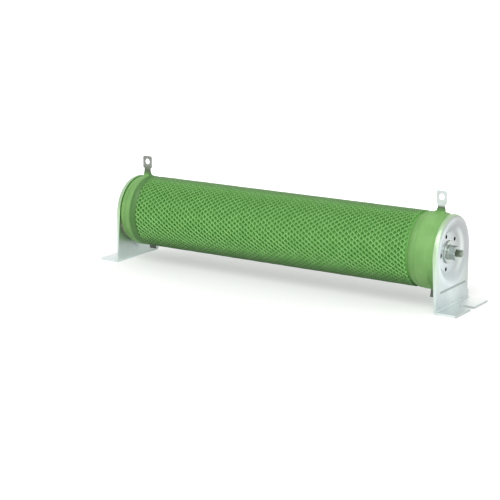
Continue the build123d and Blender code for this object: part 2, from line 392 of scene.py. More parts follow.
def cement_material(colours):
    """Smooth cement, with painted shade on the low ring where the strip's last turn is buried."""
    material, tree, shader = blank_material("green_cement")
    mottle = add_mottle(
        tree, colours.cement, colours.cement_dark, clouds=70, grain=1400, contrast=0.6)
    along = axis_socket(tree, X)
    # Painted shade on the low rings at both ends
    ends = [colour_mix(tree, fade(tree, along, *ring), mottle["Color"], tint)
            for ring, tint in ((RIGHT_RING_SHADE, colours.ring), (LEFT_RING_SHADE, colours.left_ring_shade))]
    both = colour_mix(tree, fade(tree, along, *LEFT_HALF), *ends)
    climb = fade(tree, axis_socket(tree, Z), *LUG_CLIMB)
    stained = colour_mix(tree, climb, both, colours.climb)
    finish(tree, shader, stained, fade(tree, mottle["Clouds"], 0, 1, *CEMENT_ROUGH),
           mottle["Height"], bump=0.25 * MM, strength=0.5)
    return material


def ribbon_material(colours):
    """Cement on the strip, with painted shade towards its root between the turns, over its upper
    half, along its top and along its bottom.
    """
    material, tree, shader = blank_material("coated_ribbon")
    mottle = add_mottle(
        tree, colours.ribbon, colours.ribbon_dark, clouds=110, grain=2200, contrast=0.7)
    # Painted shade towards the strip's root
    depth = fade(tree, radius_socket(tree), *STRIP_ROOT_SHADE)
    colour = colour_mix(tree, depth, colours.ribbon_root_shade, mottle["Color"])
    # Painted shade over the upper half, along the top and along the bottom of the winding
    height = axis_socket(tree, Z)
    for band, tint in ((STRIP_UPPER_SHADE, colours.ribbon_upper_shade), (STRIP_TOP_SHADE, colours.ribbon_top_shade),
                       (STRIP_BELOW_SHADE, colours.ribbon_below_shade)):
        colour = colour_mix(tree, fade(tree, height, *band), colour, tint)
    finish(tree, shader, colour, rough=0.5, height=mottle["Height"], bump=0.12 * MM,
           strength=0.5)
    return material


def tube_material(colours):
    """Unglazed ceramic."""
    material, tree, shader = blank_material("tube_ceramic")
    mottle = add_mottle(
        tree, colours.ceramic, colours.ceramic_dark, clouds=90, grain=1500, contrast=0.6)
    finish(tree, shader, mottle["Color"], rough=0.7, height=mottle["Height"], bump=0.2 * MM,
           strength=0.4)
    return material


def metal_material(name, light, dark, rough, tint=None):
    """Plated steel: soft clouds of plating over a faint grain, drawn out across the sheet."""
    material, tree, shader = blank_material(name)
    mottle = add_mottle(tree, light, dark, clouds=45, grain=700, contrast=0.8)
    colour = tint(tree, mottle["Color"]) if tint else mottle["Color"]
    stretch = add_node(
        tree, "ShaderNodeMapping", {"Vector": object_place(tree), "Scale": DRAWN_GRAIN})
    lines = add_node(
        tree, "ShaderNodeTexNoise", {"Vector": stretch.outputs["Vector"], "Scale": 1})
    finish(tree, shader, colour, fade(tree, mottle["Clouds"], 0, 1, *rough),
           lines.outputs["Fac"], bump=0.02 * MM, strength=0.4)
    shader.inputs["Metallic"].default_value = 1
    return material


def sheet_tint(colours):
    """Tints the brackets' plating: painted shade at the top and back and in the crease, a painted
    highlight on the dish's back wall, painted light on the foot and a painted reflection of the
    coat's green on the rim.
    """
    def tint(tree, colour):
        out = maths(tree, "ABSOLUTE", axis_socket(tree, X))
        deep = axis_socket(tree, Y)
        high = axis_socket(tree, Z)
        radius = radius_socket(tree)
        across = maths(tree, "ABSOLUTE", deep)
        from_crease = maths(tree, "ABSOLUTE", maths(tree, "SUBTRACT", high, CREASE_Z))
        slant = add_node(tree, "ShaderNodeVectorMath", {0: object_place(tree), 1: SLANT},
                         operation="DOT_PRODUCT").outputs["Value"]
        # Layers of painted shade, highlight, light and reflection on the plating
        layers = (
            (colours.zinc_grey_shade, (slant, GREY_SLANT_SHADE)),
            (colours.zinc_wall_highlight, (radius, WALL_RISE), (radius, WALL_FALL), (deep, WALL_BACK)),
            (colours.zinc_crease,
             (from_crease, CREASE_SHADE), (across, CREASE_ENDS), (out, CREASE_FACE)),
            (colours.zinc_foot_light, (out, FOOT_OUT), (deep, FOOT_BACK)),
            (colours.zinc_green_reflection, (out, RIM_WIDTH), (high, RIM_ARCH), (radius, RIM_EDGE)),
        )
        for shade, *fades in layers:
            share, *others = [fade(tree, place, *ends) for place, ends in fades]
            for other in others:
                share = maths(tree, "MULTIPLY", share, other)
            colour = colour_mix(tree, share, colour, shade)
        return colour
    return tint


def stain_tint(colours, top):
    """Tints a lug: stained dark just above the cement that it comes out of."""
    def tint(tree, clean):
        height = fade(tree, radius_socket(tree), STAIN_FOOT, top, 0, 1)
        return colour_mix(tree, height, colours.tin_stain, clean)
    return tint


MATERIALS = {}


def material_of(name):
    """One of the finishes, all made once from the colours in the scene's settings."""
    if not MATERIALS:
        colours = bpy.context.scene.resistor_colours
        # Name, light and dark colour, least and greatest roughness, and what tints it
        metals = (
            ("zinc_sheet", colours.zinc, colours.zinc_dark, (0.34, 0.46), sheet_tint(colours)),
            # Painted shade on the vents' walls
            ("vent_wall_shade", colours.vent, colours.vent, (0.6, 0.7)),
            ("cut_edge", colours.cut, colours.cut, (0.4, 0.5)),
            ("zinc_fasteners", colours.fastener, colours.fastener_dark, (0.25, 0.38)),
            ("zinc_rod", colours.rod, colours.rod_dark, (0.22, 0.36)),
            ("band_strip", colours.band, colours.band_dark, (0.36, 0.52)),
            ("tinned_strip", colours.tin, colours.tin_dark, (0.32, 0.5),
             stain_tint(colours, STAIN_TOP)),
            # A darker copy of the tinned strip for the left lug
            ("left_lug_strip", colours.tin_left, colours.tin_left_dark, (0.32, 0.5),
             stain_tint(colours, STAIN_TOP_LEFT)),
        )
        MATERIALS.update({metal[0]: metal_material(*metal) for metal in metals})
        MATERIALS["green_cement"] = cement_material(colours)
        MATERIALS["coated_ribbon"] = ribbon_material(colours)
        MATERIALS["tube_ceramic"] = tube_material(colours)
    return MATERIALS[name]


# Settings


def setting(kind, **fixed):
    """A maker of one kind of setting, each from its name, description and default."""
    def make(name, description, default):
        return kind(name=name, description=description, default=default, **fixed)
    return make


as_count = setting(bpy.props.IntProperty, min=1)
as_amount = setting(bpy.props.FloatProperty, min=0)
as_length = setting(bpy.props.FloatProperty, unit="LENGTH", precision=5)
as_angle = setting(bpy.props.FloatProperty, subtype="ANGLE")
as_place = setting(bpy.props.FloatVectorProperty, subtype="TRANSLATION", precision=5)
as_colour = setting(bpy.props.FloatVectorProperty, subtype="COLOR_GAMMA")


# The winding

# The coated strip's section: shares of half its thickness
STRIP_FOOT = 1.15
STRIP_SHOULDER = 0.9
STRIP_CREST = 0.5
# Room that the strip's outermost wave needs: a share of its thickness, and a gap
STRIP_SIDE = 0.6
END_GAP = 0.15 * MM
# How quickly the waves change along the tube and round it, and how far they drift
DRIFT_ALONG = 90
DRIFT_ROUND = 2.2
SIZE_DRIFT = 2.3
LIFT_DRIFT = 1.7
LIFT_PLACE = Vector((5, 0, 0))
SIDEWAYS = 0.6 * MM
UPWARDS = 0.5 * MM
# Only the crest is lifted, from this share of its radius outwards
CREST_FROM = 0.93
CREST_GAIN = 14
MERGE_BLOCKS = 0.01 * MM


def ribbon_profile(ribbon):
    """The coated strip's section on edge, as (offset along the tube, radius)."""
    foot_r = TUBE_R + ribbon.foot_height
    crest_r = TUBE_R + ribbon.height
    half = ribbon.thickness / 2
    shoulder_r = crest_r - half * STRIP_SHOULDER
    return [
        (-half * STRIP_FOOT, foot_r), (-half, shoulder_r), (-half * STRIP_CREST, crest_r),
        (half * STRIP_CREST, crest_r), (half, shoulder_r), (half * STRIP_FOOT, foot_r),
    ]


def two_turns(ribbon, pitch):
    """Two turns of the strip: with an odd half wave a turn, they hold whole waves."""
    bm = bmesh.new()
    verts, edges = chain(bm, at_axis(ribbon_profile(ribbon)), closed=True)
    steps = int(2 * ribbon.waves_per_turn * ribbon.steps_per_wave)
    bmesh.ops.spin(
        bm, geom=verts + edges, cent=AXIS, axis=(1, 0, 0), angle=2 * math.tau,
        dvec=(2 * pitch / steps, 0, 0), steps=steps)
    return bm


def wave(bm, ribbon, pitch, first_x):
    """Bends the strip to and fro, a little differently from turn to turn."""
    for vert in bm.verts:
        angle = math.atan2(vert.co.z - AXIS_Z, vert.co.y)
        part_turn = (math.atan2(-vert.co.y, vert.co.z - AXIS_Z) / math.tau) % 1
        turn = round((vert.co.x - first_x) / pitch - part_turn) + part_turn
        phase = math.tau * turn * ribbon.waves_per_turn
        place = Vector((vert.co.x * DRIFT_ALONG, math.cos(angle) * DRIFT_ROUND,
                        math.sin(angle) * DRIFT_ROUND))
        drift = ribbon.unevenness * SIDEWAYS * noise.noise(place)
        size = ribbon.swing * (1 + ribbon.unevenness * noise.noise(place * SIZE_DRIFT))
        lift = ribbon.unevenness * UPWARDS * noise.noise(place * LIFT_DRIFT + LIFT_PLACE)
        outward = Vector((0, math.cos(angle), math.sin(angle)))
        radius = (Vector((0, vert.co.y, vert.co.z)) - AXIS).length
        share = radius / (TUBE_R + ribbon.height)
        vert.co.x += size * math.sin(phase) + drift
        vert.co += outward * lift * max(0.0, share - CREST_FROM) * CREST_GAIN


class RibbonSizes(bpy.types.PropertyGroup):
    turns: bpy.props.IntProperty(
        name="Turns", description="Turns of the strip, an even number", default=92, min=6)
    waves_per_turn: as_amount("Waves", "Waves of the strip in one turn", 44.5)
    steps_per_wave: as_count("Steps", "Segments that draw one wave", 8)
    thickness: as_length("Thickness", "Coated strip across its faces", 1.1 * MM)
    height: as_length("Height", "Crest of the strip above the tube", 3.42 * MM)
    foot_height: as_length("Foot", "Foot of the strip above the tube", 0.55 * MM)
    swing: as_length("Swing", "How far a wave leans to either side", 0.86 * MM)
    unevenness: bpy.props.FloatProperty(
        name="Unevenness", description="How unlike each other the waves are", default=0.22,
        subtype="FACTOR")


class RESISTOR_OT_winding(bpy.types.Operator):
    """Wind the corrugated strip on edge round the tube"""

    bl_idname = "resistor.winding"
    bl_label = "Winding"

    def execute(self, context):
        ribbon = context.scene.resistor_ribbon
        reach = WINDING_END - ribbon.swing - ribbon.thickness * STRIP_SIDE - END_GAP
        pitch = 2 * reach / ribbon.turns
        blocks = ribbon.turns // 2
        # The first two turns lie where the left collar is shorter
        cuts = (-1, blocks // 3, blocks * 2 // 3, blocks)
        names = ("winding_left", "winding_middle", "winding_right")
        for name, start, end in zip(names, cuts, cuts[1:]):
            whole = bmesh.new()
            block = as_mesh(two_turns(ribbon, pitch), "block")
            for number in range(start, end):
                block.transform(Matrix.Translation((-reach + 2 * pitch * number, 0, 0)))
                whole.from_mesh(block)
                block.transform(Matrix.Translation((reach - 2 * pitch * number, 0, 0)))
            bpy.data.meshes.remove(block)
            bmesh.ops.remove_doubles(whole, verts=whole.verts, dist=MERGE_BLOCKS)
            wave(whole, ribbon, pitch, -reach)
            make_piece(name, close_ends(whole), ["coated_ribbon"],
                       "ribbon_winding", sharp_angle=60)
        return {"FINISHED"}


# The cement coat

ROUND_STEPS = 128
SOFT = 0.5 * MM
# How far the ring lies below the collar: at its start and end, at its edge, on its run-out
RING_DROPS = (0.2 * MM, 0.3 * MM, 0.7 * MM, 1.1 * MM)
COLLAR_FOOT = 2 * MM
NECK_HALF = 3 * MM
# Thickness of the lug's cement and of the flare beside it, at the foot and at the head
LUG_CEMENT = (2.9 * MM, 2.1 * MM)
FLARE = (2.6 * MM, 1.9 * MM)
BESIDE_NECK = 0.4 * MM
FLARE_IN_NECK = 0.5 * MM
FLARE_BELOW_TOP = 1.1 * MM
FLARE_ABOVE_COLLAR = 0.1 * MM
LUG_CEMENT_FOOT_R = TUBE_R + 2.4 * MM
# Brush marks: how quickly they change along and round the tube, and how deep they are
BRUSH_DEPTH = 0.16 * MM
SWELLS = (160, 2.4)
SWELL_SINK = 0.35
RINGS = (900, 0.6)
RING_DEPTH = 0.45
UNBRUSHED_R = TUBE_R + 0.6 * MM


class CoatSizes(bpy.types.PropertyGroup):
    base_height: as_length("Base", "Coat between the turns, above the tube", 1.3 * MM)
    end_height: as_length("End", "Thin end of the coat, above the tube", 2.2 * MM)
    collar_height: as_length(
        "Collar", "Thick collar over the terminal band, above the tube", 3.7 * MM)
    shoulder: as_length("Shoulder", "From the coat's end to the collar's slope", 4.1 * MM)
    slope: as_length("Slope", "Length of the collar's slope", 1.9 * MM)
    collar_length: as_length("Length", "Length of the level part of the collar", 9.3 * MM)
    groove: as_length("Groove", "Width and depth of the groove beside the last turn", 0.8 * MM)
    ring_length: as_length("Ring", "Smooth ring where the strip's last turn is buried", 3.3 * MM)
    left_shorter: as_length(
        "Left collar", "How much shorter the left collar is, by two turns", LEFT_SHORTER)
    run_out: as_length("Run-out", "How far the ring's cement runs out over the winding", 2.6 * MM)
    lug_top: as_length("Lug coat", "How far from the axis the coat climbs the lug", 33.7 * MM)
    web_length: as_length("Web", "Flare of cement beside the lug, on the winding's side", 3.4 * MM)
    grain: as_length("Grain", "Size of the lumps that the wet cement is remeshed from", 0.42 * MM)


def collar_profile(coat, shorter):
    """A collar's section from the coat's end inwards, as (x, radius)."""
    end_r = TUBE_R + coat.end_height
    collar_r = TUBE_R + coat.collar_height
    base_r = TUBE_R + coat.base_height
    ring_r, sunk_r, edge_r, run_r = [collar_r - drop for drop in RING_DROPS]
    shoulder = COAT_END - coat.shoulder
    collar = shoulder - coat.slope
    groove = collar - coat.collar_length + shorter
    ring = groove - coat.groove
    edge = ring - coat.ring_length
    run_end = edge - coat.run_out
    return [
        (COAT_END, TUBE_R), (COAT_END, end_r - SOFT), (COAT_END - SOFT, end_r),
        (shoulder, end_r), (collar, collar_r), (groove + SOFT, collar_r),
        (groove, collar_r - SOFT / 2), (groove - coat.groove / 2, collar_r - coat.groove),
        (ring, collar_r - SOFT), (ring - SOFT, ring_r), (edge + SOFT, sunk_r), (edge, edge_r),
        (edge - coat.run_out / 2, run_r), (run_end, base_r),
        (run_end - COLLAR_FOOT, base_r), (run_end - COLLAR_FOOT, TUBE_R),
    ]


def tapered_block(bm, thicknesses, x_from, x_to, high_r):
    """A block standing out of the collar, with its own thickness at foot and head."""
    foot, head = thicknesses
    made = bmesh.ops.create_cube(bm, size=1.0)["verts"]
    for vert in made:
        vert.co.x = x_to if vert.co.x > 0 else x_from
        vert.co.y *= head if vert.co.z > 0 else foot
        vert.co.z = high_r if vert.co.z > 0 else LUG_CEMENT_FOOT_R
    bmesh.ops.translate(bm, vec=AXIS, verts=made)
    return made


def cement_web(bm, coat):
    """A flare from the lug down to the collar, like a brushed-on fillet."""
    neck = LUG_X - NECK_HALF
    made = tapered_block(bm, FLARE, neck - coat.web_length, neck + FLARE_IN_NECK,
                         coat.lug_top - FLARE_BELOW_TOP)
    for vert in made:
        if vert.co.x < neck - MM and vert.co.z > AXIS_Z + LUG_CEMENT_FOOT_R + MM:
            vert.co.z = AXIS_Z + TUBE_R + coat.collar_height + FLARE_ABOVE_COLLAR


def collar_mesh(coat, right):
    """The wet cement: collar, flare and lug coat run together and smoothed."""
    shorter = 0 if right else coat.left_shorter
    bm = spun(collar_profile(coat, shorter), ROUND_STEPS)
    bmesh.ops.recalc_face_normals(bm, faces=bm.faces)
    tapered_block(bm, LUG_CEMENT, LUG_X - NECK_HALF - BESIDE_NECK,
                  LUG_X + NECK_HALF + BESIDE_NECK, coat.lug_top)
    cement_web(bm, coat)
    if not right:
        turn_half(bm)
    return remeshed(as_mesh(bm, "collar"), coat.grain)


def remeshed(mesh, voxel):
    """The mesh's shells as one skin of even grain, smoothed a little."""
    carrier = in_scene("carrier", mesh)
    remesh = carrier.modifiers.new("skin", "REMESH")
    remesh.mode = "VOXEL"
    remesh.voxel_size = voxel
    smooth = carrier.modifiers.new("smooth", "SMOOTH")
    smooth.factor = 0.5
    smooth.iterations = 4
    return after_modifiers(carrier)


def brushed_on(mesh):
    """Slow swells of the brushed cement, and faint rings left by turning the tube."""
    bm = take_in(bmesh.new(), mesh)
    for vert in bm.verts:
        outward = Vector((0, vert.co.y, vert.co.z - AXIS_Z))
        if outward.length < UNBRUSHED_R:
            continue
        outward.normalize()
        swell, ring = [
            noise.noise(Vector((vert.co.x * along, outward.y * around, outward.z * around)))
            for along, around in (SWELLS, RINGS)]
        vert.co += outward * (BRUSH_DEPTH * (swell - SWELL_SINK) + BRUSH_DEPTH * RING_DEPTH * ring)
    return bm


class RESISTOR_OT_coat(bpy.types.Operator):
    """Brush the cement on: a thin base under the turns and a thick collar at each end"""

    bl_idname = "resistor.coat"
    bl_label = "Cement coat"

    def execute(self, context):
        coat = context.scene.resistor_coat
        end = COAT_END - coat.shoulder - coat.slope - coat.collar_length - coat.ring_length
        base_r = TUBE_R + coat.base_height
        base = spun([(-end, TUBE_R), (-end, base_r), (end, base_r), (end, TUBE_R)], ROUND_STEPS)
        make_piece("cement_base", base, ["coated_ribbon"], "cement_coating")
        for name, right in (("cement_collar_right", True), ("cement_collar_left", False)):
            skin = brushed_on(collar_mesh(coat, right))
            make_piece(name, skin, ["green_cement"], "cement_coating",
                       sharp_angle=80)
        return {"FINISHED"}


# Brackets, terminals and fasteners

VENT_STEPS = 32
# A face whose normal leans less than this along an axis stands along that axis
STANDS = 0.3
ON_RING = 0.02 * MM
MERGE_SHEET = 0.004 * MM
DEGENERATE = 0.001 * MM
BEND_SAMPLES = range(-3, 4)
SMALL_EDGE = 0.15 * MM
PLATING, VENT_WALL_SHADE, CUT_EDGE = range(3)


class BracketSizes(bpy.types.PropertyGroup):
    edge_round: as_length("Edges", "Rounding of the sheet's cut edges", 0.22 * MM)
    rod_hole_r: as_length("Rod hole", "Radius of the hole for the rod", 3.3 * MM)
    dish_cut_r: as_length("Dish", "Radius inside which the dish is pressed anew", 26.2 * MM)
    dish_high_r: as_length("Dish top", "Where the lead-in from the plate begins", 25.1 * MM)
    dish_shelf_r: as_length("Dish wall", "Where the lead-in ends and the wall begins", 21.7 * MM)
    dish_lead_in: as_length("Lead-in", "Depth of the lead-in", 1.25 * MM)
    dish_bend: as_length(
        "Dish bends", "How far each bend of the dish is rounded to both sides", 0.9 * MM)
    dish_low_r: as_length("Dish floor", "Where the wall ends on the floor", 15.6 * MM)
    dish_back_high_r: as_length("Dish back, top", "The dish's inner face at the plate", 20.9 * MM)
    dish_back_low_r: as_length("Dish back, floor", "The dish's inner face at its floor", 17.9 * MM)
    dish_steps: as_count("Dish steps", "Rings that draw the dish's wall", 26)
    dish_round: as_count("Dish segments", "Segments round the dish", 128)
    vents: as_count("Vents", "Vents in a dish's floor", 5)
    vent_r: as_length("Vent", "Radius of a vent", 1.65 * MM)
    vent_pitch_r: as_length(
        "Vent circle", "Radius of the circle that the vents lie on", 13.48 * MM)
    vent_angle: as_angle(
        "Vent angle", "Turn of the first vent from the back towards the top", math.radians(39))
    vent_zone: bpy.props.FloatVectorProperty(
        name="Vent zone", description="Nearest and farthest that a vent lies from the axis", size=2,
        default=(11 * MM, 15.6 * MM), unit="LENGTH", precision=5)


def applied(mesh, *cutters):
    """The mesh with the cutters' volumes taken out of it."""
    carrier = in_scene("carrier", mesh)
    tools = [in_scene("cutter", cutter) for cutter in cutters]
    for tool in tools:
        cut = carrier.modifiers.new("cut", "BOOLEAN")
        cut.operation = "DIFFERENCE"
        cut.solver = "EXACT"
        cut.object = tool
    return after_modifiers(carrier, *tools)


def drum(radius, steps):
    """A closed drum round the axis, through the right bracket's dish."""
    ends = [(DISH_FLOOR - 3 * SHEET, radius), (PLATE_OUTER + SHEET, radius)]
    return close_ends(spun(ends, steps, closed=False))


def vent_pins(sizes):
    """Pins through the places of the vents."""
    bm = bmesh.new()
    for number in range(sizes.vents):
        angle = sizes.vent_angle + math.tau * number / sizes.vents
        place = Vector((DISH_FLOOR - SHEET / 2, math.cos(angle) * sizes.vent_pitch_r,
                        AXIS_Z + math.sin(angle) * sizes.vent_pitch_r))
        turn = Matrix.Translation(place) @ Matrix.Rotation(math.pi / 2, 4, "Y")
        bmesh.ops.create_cone(
            bm, cap_ends=True, segments=VENT_STEPS, radius1=sizes.vent_r,
            radius2=sizes.vent_r, depth=3 * SHEET, matrix=turn)
    return bm


def dish_depth(sizes, r):
    """How deep the dish is at a distance from the axis: a shallow lead-in, then the wall."""
    if r > sizes.dish_shelf_r:
        share = max(0, sizes.dish_high_r - r) / (sizes.dish_high_r - sizes.dish_shelf_r)
        return sizes.dish_lead_in * share
    share = min(1, (sizes.dish_shelf_r - r) / (sizes.dish_shelf_r - sizes.dish_low_r))
    return sizes.dish_lead_in + (PLATE_OUTER - DISH_FLOOR - sizes.dish_lead_in) * share


def dish_profile(sizes):
    """The dish from the plate inwards, with soft bends, and back along its inner face."""
    first = sizes.dish_high_r + sizes.dish_bend
    last = sizes.dish_low_r - sizes.dish_bend
    outside = [(PLATE_OUTER, sizes.dish_cut_r)]
    for step in range(sizes.dish_steps + 1):
        r = first + (last - first) * step / sizes.dish_steps
        depths = [dish_depth(sizes, r + sizes.dish_bend * part / BEND_SAMPLES[-1])
                  for part in BEND_SAMPLES]
        outside.append((PLATE_OUTER - sum(depths) / len(depths), r))
    back = DISH_FLOOR - SHEET
    return outside + [
        (DISH_FLOOR, sizes.rod_hole_r), (back, sizes.rod_hole_r), (back, sizes.dish_back_low_r),
        (PLATE_INNER, sizes.dish_back_high_r), (PLATE_INNER, sizes.dish_cut_r),
    ]


def opened(mesh, radius, steps):
    """The mesh without the round wall at a radius, its rims there on one ring's points."""
    bm = take_in(bmesh.new(), mesh)
    bm.normal_update()
    on_ring = {v for v in bm.verts
               if abs(math.hypot(v.co.y, v.co.z - AXIS_Z) - radius) < ON_RING}
    walls = [f for f in bm.faces if abs(f.normal.x) < STANDS and on_ring.issuperset(f.verts)]
    bmesh.ops.delete(bm, geom=walls, context="FACES")
    step = math.tau / steps
    for vert in [v for v in bm.verts if v in on_ring]:
        angle = round(math.atan2(vert.co.z - AXIS_Z, vert.co.y) / step) * step
        vert.co.y = math.cos(angle) * radius
        vert.co.z = AXIS_Z + math.sin(angle) * radius
    return bm


def bracket_pair(sizes):
    """The brackets' sheet with the dish in it pressed anew, soft at its bends."""
    ring = (sizes.dish_cut_r, sizes.dish_round)
    drums = [plain_mesh(drum(*ring), "drum"), plain_mesh(turn_half(drum(*ring)), "drum")]
    whole = opened(applied(plain_mesh(cad_copy("end_brackets"), "sheet"), *drums), *ring)
    for is_right in (True, False):
        solid = plain_mesh(spun(dish_profile(sizes), sizes.dish_round), "dish")
        dish = opened(applied(solid, plain_mesh(vent_pins(sizes), "pins")), *ring)
        if not is_right:
            turn_half(dish)
        take_in(whole, plain_mesh(dish, "dish"))
    bmesh.ops.remove_doubles(whole, verts=whole.verts, dist=MERGE_SHEET)
    bmesh.ops.dissolve_degenerate(whole, edges=whole.edges, dist=DEGENERATE)
    bmesh.ops.recalc_face_normals(whole, faces=whole.faces)
    return whole


def bracket_finish(face, sizes):
    """Which finish a face of the bracket takes: its plating, painted shade on a vent's wall, or a
    cut edge.
    """
    middle = face.calc_center_median()
    across = math.hypot(middle.y, middle.z - AXIS_Z)
    if abs(face.normal.x) < STANDS and sizes.vent_zone[0] < across < sizes.vent_zone[1]:
        return VENT_WALL_SHADE
    on_foot = abs(middle.x) > PLATE_OUTER + MM and middle.z < 2 * SHEET
    return CUT_EDGE if on_foot and abs(face.normal.z) < STANDS else PLATING


class RESISTOR_OT_brackets(bpy.types.Operator):
    """Press the two sheet-steel end brackets"""

    bl_idname = "resistor.brackets"
    bl_label = "End brackets"

    def execute(self, context):
        sizes = context.scene.resistor_bracket
        bm = bracket_pair(sizes)
        for face in bm.faces:
            face.material_index = bracket_finish(face, sizes)
        piece = make_piece("end_bracket_pair", bm, ["zinc_sheet", "vent_wall_shade", "cut_edge"],
                           "end_brackets", sharp_angle=50)
        soften(piece, sizes.edge_round, 50)
        return {"FINISHED"}


def finished_copy(node, finish):
    """A CAD node's own shape with small rounded edges and a finish."""
    soften(make_piece(node + "_finished", cad_copy(node), [finish], node), SMALL_EDGE)


class RESISTOR_OT_terminals(bpy.types.Operator):
    """Finish the terminal bands and the lugs"""

    bl_idname = "resistor.terminals"
    bl_label = "Terminals"

    def execute(self, context):
        finished_copy("terminal_bands", "band_strip")
        finished_copy("terminal_lug_right", "tinned_strip")
        finished_copy("terminal_lug_left", "left_lug_strip")
        return {"FINISHED"}


# The rod's thread: shares of its pitch, and how deep the ridge is sunk into the core
THREAD_FLAT = 1 / 8
THREAD_SLOPE = 0.42
THREAD_SUNK = 0.1 * MM
CREST_BELOW_ROD = 0.04 * MM
ROD_CHAMFER = 0.5 * MM


class ThreadSizes(bpy.types.PropertyGroup):
    pitch: as_length("Pitch", "From crest to crest", 1.0 * MM)
    depth: as_length("Depth", "From crest to root", 0.6 * MM)
    length: as_length("Length", "Threaded length at each end of the rod", 24 * MM)
    steps: as_count("Steps", "Segments round the rod", 32)


def thread_sleeve(thread, crest_r):
    """A helical ridge that ends at the rod's tip, closed at both ends."""
    root = crest_r - thread.depth
    flat = thread.pitch * THREAD_FLAT
    slope = thread.pitch * THREAD_SLOPE
    ridge = [(-slope, root - THREAD_SUNK), (-slope, root), (-flat / 2, crest_r),
             (flat / 2, crest_r), (slope, root), (slope, root - THREAD_SUNK)]
    turns = int(thread.length / thread.pitch)
    start = ROD_TIP - turns * thread.pitch - slope - flat
    bm = bmesh.new()
    verts, edges = chain(bm, at_axis([(start + x, r) for x, r in ridge]), closed=True)
    bmesh.ops.spin(
        bm, geom=verts + edges, cent=AXIS, axis=(1, 0, 0), angle=turns * math.tau,
        dvec=(thread.pitch / thread.steps, 0, 0), steps=turns * thread.steps)
    return close_ends(bm)


def threaded_rod(thread):
    """A plain core the size of the thread's root, with a thread at each end."""
    crest_r = ROD_R - CREST_BELOW_ROD
    root = crest_r - thread.depth
    shank = ROD_TIP - thread.length - thread.pitch
    half = [(shank, crest_r), (shank + thread.depth, root), (ROD_TIP - ROD_CHAMFER, root),
            (ROD_TIP, root - ROD_CHAMFER)]
    corners = [(-x, r) for x, r in reversed(half)] + half
    bm = close_ends(spun(corners, 2 * thread.steps, closed=False))
    bmesh.ops.recalc_face_normals(bm, faces=bm.faces)
    for right in (True, False):
        sleeve = thread_sleeve(thread, crest_r)
        if not right:
            turn_half(sleeve)
        take_in(bm, plain_mesh(sleeve, "sleeve"))
    return bm


class RESISTOR_OT_fasteners(bpy.types.Operator):
    """Thread the rod and finish nuts and washers"""

    bl_idname = "resistor.fasteners"
    bl_label = "Rod, nuts and washers"

    def execute(self, context):
        rod = threaded_rod(context.scene.resistor_thread)
        make_piece("tie_rod_threaded", rod, ["zinc_rod"], "tie_rod",
                   sharp_angle=30)
        for node in ("plain_washers", "spring_washers", "tie_nuts"):
            finished_copy(node, "zinc_fasteners")
        return {"FINISHED"}


class RESISTOR_OT_tube(bpy.types.Operator):
    """Give the ceramic tube its finish"""

    bl_idname = "resistor.tube"
    bl_label = "Ceramic tube"

    def execute(self, context):
        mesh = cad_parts["ceramic_tube"].data
        mesh.materials.clear()
        mesh.materials.append(material_of("tube_ceramic"))
        return {"FINISHED"}


